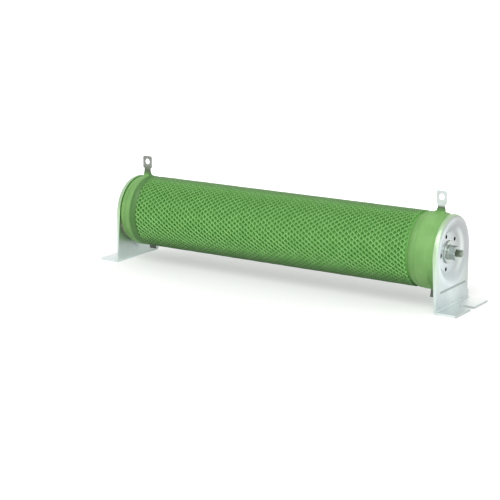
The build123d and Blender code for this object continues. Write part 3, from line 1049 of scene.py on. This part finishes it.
class Colours(bpy.types.PropertyGroup):
    cement: as_colour("Cement", "Smooth green cement", (0.53, 0.74, 0.42))
    cement_dark: as_colour("Cement, dark", "Darker clouds in the cement", (0.45, 0.66, 0.36))
    ribbon: as_colour("Strip", "Cement on the strip", (0.61, 0.85, 0.51))
    ribbon_dark: as_colour("Strip, dark", "Darker clouds on the strip", (0.51, 0.77, 0.42))
    # Painted shade deep between the turns
    ribbon_root_shade: as_colour("Strip, root", "Cement deep between the turns", (0.43, 0.69, 0.34))
    # Painted shade along the top of the winding
    ribbon_top_shade: as_colour(
        "Strip, top", "Dull line along the top of the winding", (0.40, 0.50, 0.36))
    # Painted shade over the upper half of the winding
    ribbon_upper_shade: as_colour("Strip, upper", "Duller upper half of the winding", (0.42, 0.65, 0.33))
    # Painted shade along the bottom of the winding
    ribbon_below_shade: as_colour(
        "Strip, below", "Darker line along the bottom of the winding", (0.20, 0.36, 0.16))
    # Painted shade on the low rings beside the collars
    ring: as_colour("Ring", "Cement over the strip's last turn", (0.42, 0.62, 0.32))
    left_ring_shade: as_colour("Left ring", "Cement over the strip's first turn", (0.31, 0.51, 0.24))
    climb: as_colour("Lug coat", "Thin cement that climbs the lug", (0.36, 0.50, 0.31))
    zinc: as_colour("Zinc", "Plated sheet", (0.86, 0.90, 0.90))
    zinc_dark: as_colour("Zinc, dark", "Clouds in the plating", (0.80, 0.84, 0.85))
    # Painted shade towards the top and the back of the plating
    zinc_grey_shade: as_colour(
        "Zinc, grey", "Greyer plating towards the top and the back", (0.70, 0.715, 0.715))
    # Painted reflection of the coat's green on the rim
    zinc_green_reflection: as_colour(
        "Zinc, green", "Rim, with the green of the coat in it", (0.69, 0.80, 0.65))
    zinc_crease: as_colour("Zinc, crease", "Shade of the pressed crease", (0.60, 0.64, 0.63))
    # Painted light on the foot
    zinc_foot_light: as_colour("Zinc, foot", "Brighter foot", (0.98, 0.99, 0.985))
    # Painted highlight on the wall at the back of the dish
    zinc_wall_highlight: as_colour(
        "Zinc, pressed", "Brighter wall at the back of the dish", (0.85, 0.88, 0.865))
    # Painted shade on the vents' walls
    vent: as_colour("Vents", "Shaded walls of the vents", (0.22, 0.24, 0.24))
    cut: as_colour("Cut edges", "Cut edges of the foot", (0.76, 0.79, 0.78))
    fastener: as_colour("Fasteners", "Plated fasteners", (0.74, 0.77, 0.75))
    fastener_dark: as_colour("Fasteners, dark", "Clouds on the fasteners", (0.60, 0.63, 0.61))
    rod: as_colour("Rod", "Threaded rod", (0.66, 0.70, 0.64))
    rod_dark: as_colour("Rod, dark", "Clouds on the rod", (0.34, 0.38, 0.33))
    band: as_colour("Band", "Bare ears of the terminal band", (0.46, 0.48, 0.46))
    band_dark: as_colour("Band, dark", "Clouds on the bare ears", (0.32, 0.35, 0.31))
    tin: as_colour("Tin", "Tinned strip", (0.78, 0.82, 0.805))
    tin_dark: as_colour("Tin, dark", "Clouds on the tin", (0.74, 0.76, 0.75))
    # A darker copy of the tin for the left lug
    tin_left: as_colour("Tin, dull", "The duller left lug", (0.60, 0.62, 0.59))
    tin_left_dark: as_colour("Tin, dull and dark", "Clouds on the left lug", (0.42, 0.44, 0.42))
    tin_stain: as_colour("Tin, stain", "Stain above the cement", (0.33, 0.38, 0.30))
    ceramic: as_colour("Ceramic", "Bare tube", (0.84, 0.80, 0.74))
    ceramic_dark: as_colour("Ceramic, dark", "Clouds on the tube", (0.66, 0.61, 0.54))


# Stage

SENSOR_WIDTH = 36
NEAR_CLIP = 0.01
FLOOR_SIZE = 6
# The floor's glow grows to white between these distances, which count half along the part
GLOW_REACH = (0.06, 0.3)
GLOW_STRETCH = (0.5, 1, 0)


class StageSettings(bpy.types.PropertyGroup):
    camera_place: as_place("Camera", "Where the camera stands", (0.61607, -1.02197, 0.29974))
    camera_yaw: as_angle("Yaw", "Turn of the view about the vertical", math.radians(32.457))
    camera_pitch: as_angle("Pitch", "How far the view looks down", math.radians(12.969))
    camera_roll: as_angle("Roll", "Tilt of the picture", math.radians(0.509))
    focal_length: as_amount("Lens", "Focal length on a 36 mm sensor, in millimetres", 107.26)
    floor_shade: as_amount("Floor", "How much light the floor throws back", 0.72)
    floor_glow: as_amount(
        "Floor glow", "Glow of the floor below the part, seen by the camera", 0.42)
    world_strength: as_amount("World", "Strength of the even light all round", 0.55)
    key_place: as_place("Key place", "Where the large lamp above stands", (0.28, -0.85, 0.98))
    key_size: as_length("Key size", "Diameter of the large lamp above", 0.9)
    key_power: as_amount("Key", "Power of the large lamp above, in watts", 6.6)
    fill_place: as_place("Fill place", "Where the lamp beside the camera stands", (1.3, -0.8, 0.5))
    fill_target: as_place(
        "Fill target", "What the lamp beside the camera points at", (0.1, 0, AXIS_Z))
    fill_size: as_length("Fill size", "Diameter of the lamp beside the camera", 0.8)
    fill_power: as_amount("Fill", "Power of the lamp beside the camera, in watts", 2.5)


def make_camera(stage):
    """The camera at the photograph's place and angle."""
    yaw, pitch, roll = stage.camera_yaw, stage.camera_pitch, stage.camera_roll
    forward = Vector((-math.sin(yaw) * math.cos(pitch), math.cos(yaw) * math.cos(pitch),
                      -math.sin(pitch)))
    level = Vector((math.cos(yaw), math.sin(yaw), 0))
    upright = level.cross(forward)
    right = level * math.cos(roll) + upright * math.sin(roll)
    up = upright * math.cos(roll) - level * math.sin(roll)
    camera = in_scene("camera", bpy.data.cameras.new("camera"))
    camera.data.lens = stage.focal_length
    camera.data.sensor_width = SENSOR_WIDTH
    camera.data.clip_start = NEAR_CLIP
    turn = Matrix((right, up, -forward)).transposed().to_4x4()
    camera.matrix_world = Matrix.Translation(stage.camera_place) @ turn
    bpy.context.scene.camera = camera


def make_lamp(name, place, target, size, power):
    """A round soft lamp that points at a place."""
    lamp = bpy.data.lights.new(name, "AREA")
    lamp.shape = "DISK"
    lamp.size = size
    lamp.energy = power
    holder = in_scene(name, lamp)
    holder.location = place
    aim = Vector(target) - Vector(place)
    holder.rotation_euler = aim.to_track_quat("-Z", "Y").to_euler()


def sees_backdrop(tree):
    """1 for rays from the camera and from the metal, which see a plain white backdrop."""
    path = add_node(tree, "ShaderNodeLightPath").outputs
    return maths(tree, "MAXIMUM", path["Is Camera Ray"], path["Is Glossy Ray"])


def make_floor(stage):
    """A pale sheet that keeps a soft shadow near the part and is white farther away.

    Only rays from the camera and the metal see its glow, so it doesn't light the part from below.
    """
    bm = bmesh.new()
    bmesh.ops.create_grid(bm, x_segments=1, y_segments=1, size=FLOOR_SIZE)
    floor = in_scene("floor", as_mesh(bm, "floor"))
    material, tree, shader = blank_material("floor")
    flat = add_node(
        tree, "ShaderNodeMapping", {"Vector": object_place(tree), "Scale": GLOW_STRETCH})
    reach = add_node(
        tree, "ShaderNodeVectorMath", {0: flat.outputs["Vector"]}, operation="LENGTH")
    spread = fade(tree, reach.outputs["Value"], *GLOW_REACH, stage.floor_glow, 1)
    looks = {
        "Base Color": (*[stage.floor_shade] * 3, 1),
        "Roughness": 0.9,
        "Specular IOR Level": 0,
        "Emission Color": (1, 1, 1, 1),
        "Emission Strength": maths(tree, "MULTIPLY", sees_backdrop(tree), spread),
    }
    for socket, value in looks.items():
        feed(tree, shader.inputs[socket], value)
    floor.data.materials.append(material)


def make_world(stage):
    """Even light all round, and a plain white backdrop for the camera and the metal."""
    world = bpy.data.worlds.new("studio")
    world.use_nodes = True
    tree = world.node_tree
    background = tree.nodes["Background"].inputs
    strength = fade(tree, sees_backdrop(tree), 0, 1, stage.world_strength, 1)
    feed(tree, background["Strength"], strength)
    feed(tree, background["Color"], (1, 1, 1, 1))
    bpy.context.scene.world = world


class RESISTOR_OT_stage(bpy.types.Operator):
    """Set the floor, the light and the camera"""

    bl_idname = "resistor.stage"
    bl_label = "Stage"

    def execute(self, context):
        stage = context.scene.resistor_stage
        context.scene.view_settings.view_transform = "Standard"
        make_world(stage)
        make_floor(stage)
        make_camera(stage)
        make_lamp("key", stage.key_place, AXIS, stage.key_size, stage.key_power)
        make_lamp("fill", stage.fill_place, stage.fill_target, stage.fill_size, stage.fill_power)
        return {"FINISHED"}


class RESISTOR_PT_panel(bpy.types.Panel):
    """Buttons that make each piece"""

    bl_idname = "RESISTOR_PT_panel"
    bl_label = "Braking Resistor"
    bl_space_type = "VIEW_3D"
    bl_region_type = "UI"
    bl_category = "Resistor"

    def draw(self, context):
        for operator in OPERATORS:
            self.layout.operator(operator.bl_idname)


SETTINGS = {
    "resistor_colours": Colours,
    "resistor_ribbon": RibbonSizes,
    "resistor_coat": CoatSizes,
    "resistor_bracket": BracketSizes,
    "resistor_thread": ThreadSizes,
    "resistor_stage": StageSettings,
}
OPERATORS = (
    RESISTOR_OT_stage,
    RESISTOR_OT_tube,
    RESISTOR_OT_coat,
    RESISTOR_OT_winding,
    RESISTOR_OT_brackets,
    RESISTOR_OT_terminals,
    RESISTOR_OT_fasteners,
)


def register():
    for name, group in SETTINGS.items():
        bpy.utils.register_class(group)
        setattr(bpy.types.Scene, name, bpy.props.PointerProperty(type=group))
    for operator in OPERATORS:
        bpy.utils.register_class(operator)
    bpy.utils.register_class(RESISTOR_PT_panel)


def unregister():
    bpy.utils.unregister_class(RESISTOR_PT_panel)
    for operator in reversed(OPERATORS):
        bpy.utils.unregister_class(operator)
    for name, group in SETTINGS.items():
        delattr(bpy.types.Scene, name)
        bpy.utils.unregister_class(group)


def main():
    register()
    bpy.ops.resistor.stage()
    bpy.ops.resistor.tube()
    bpy.ops.resistor.coat()
    bpy.ops.resistor.winding()
    bpy.ops.resistor.brackets()
    bpy.ops.resistor.terminals()
    bpy.ops.resistor.fasteners()


if __name__ == "__main__":
    main()
